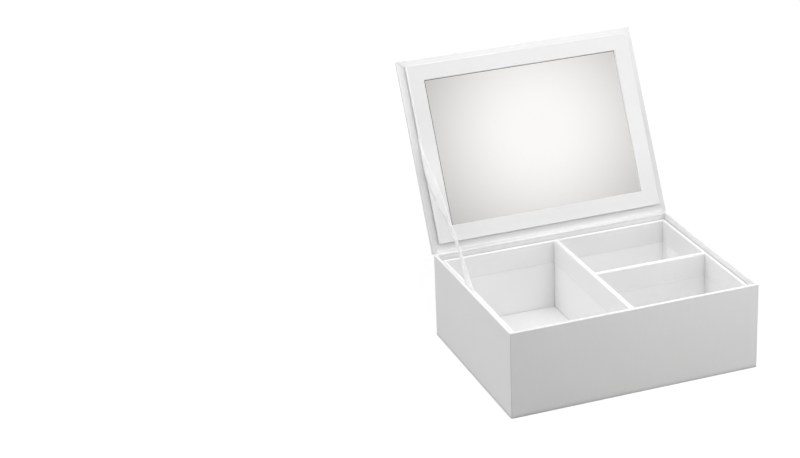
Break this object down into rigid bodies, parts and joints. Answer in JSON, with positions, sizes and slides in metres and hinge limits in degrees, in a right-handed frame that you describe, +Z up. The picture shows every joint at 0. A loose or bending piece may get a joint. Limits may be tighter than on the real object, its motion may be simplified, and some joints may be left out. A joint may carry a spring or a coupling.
{
  "type": "jewellery box with a hinged mirror lid",
  "caption": "White paper-covered rigid jewellery box with a hinged lid, a framed mirror inside it, a ribbon stay and inner trays.",
  "frame": {"origin": "middle of the underside, on the surface the box stands on", "axes": "+X to the right, +Y to the back where the hinge is, +Z up; the lid is stored open, leaning back on its ribbon"},
  "size_m": [0.211, 0.2365, 0.215],
  "materials": {
    "cover_paper": "matt, fine laid grain",
    "base_paper": "matt",
    "strip_paper": "matt",
    "white_board": "smooth white lined",
    "greyboard": "raw grey fibre",
    "corrugated_board": "raw kraft",
    "label_paper": "satin black",
    "mirror_glass": "silvered glass",
    "adhesive_foam": "foam tape",
    "ribbon_satin": "sheer satin"
  },
  "bodies": {
    "case": {"underside_paper": "base_paper", "case_floor_board": "greyboard", "case_front_board": "greyboard", "case_back_board": "greyboard", "case_left_board": "greyboard", "case_right_board": "greyboard", "case_wrap": "cover_paper", "tray_bed_sheet": "corrugated_board", "hinge_strip_case": "strip_paper", "left_tray_floor_board": "white_board", "left_tray_front_board": "white_board", "left_tray_back_board": "white_board", "left_tray_left_board": "white_board", "left_tray_right_board": "white_board", "left_tray_wrap": "cover_paper", "front_tray_floor_board": "white_board", "front_tray_front_board": "white_board", "front_tray_back_board": "white_board", "front_tray_left_board": "white_board", "front_tray_right_board": "white_board", "front_tray_wrap": "cover_paper", "back_tray_floor_board": "white_board", "back_tray_front_board": "white_board", "back_tray_back_board": "white_board", "back_tray_left_board": "white_board", "back_tray_right_board": "white_board", "back_tray_wrap": "cover_paper", "ribbon_stay": "ribbon_satin"},
    "lid": {"lid_board": "greyboard", "lid_wrap": "cover_paper", "lid_label": "label_paper", "hinge_strip_lid": "strip_paper", "mirror_adhesive": "adhesive_foam", "mirror": "mirror_glass", "spacer_back": "greyboard", "spacer_front": "greyboard", "spacer_left": "greyboard", "spacer_right": "greyboard", "pad_frame_board": "greyboard", "pad_frame_wrap": "cover_paper"}
  },
  "joints": [
    {"name": "lid_hinge", "type": "hinge", "parent": "case", "child": "lid", "pos_m": [0, 0.08, 0.07225], "axis": [1, 0, 0], "range_deg": [0, 117], "deforming": ["ribbon_stay"]}
  ]
}
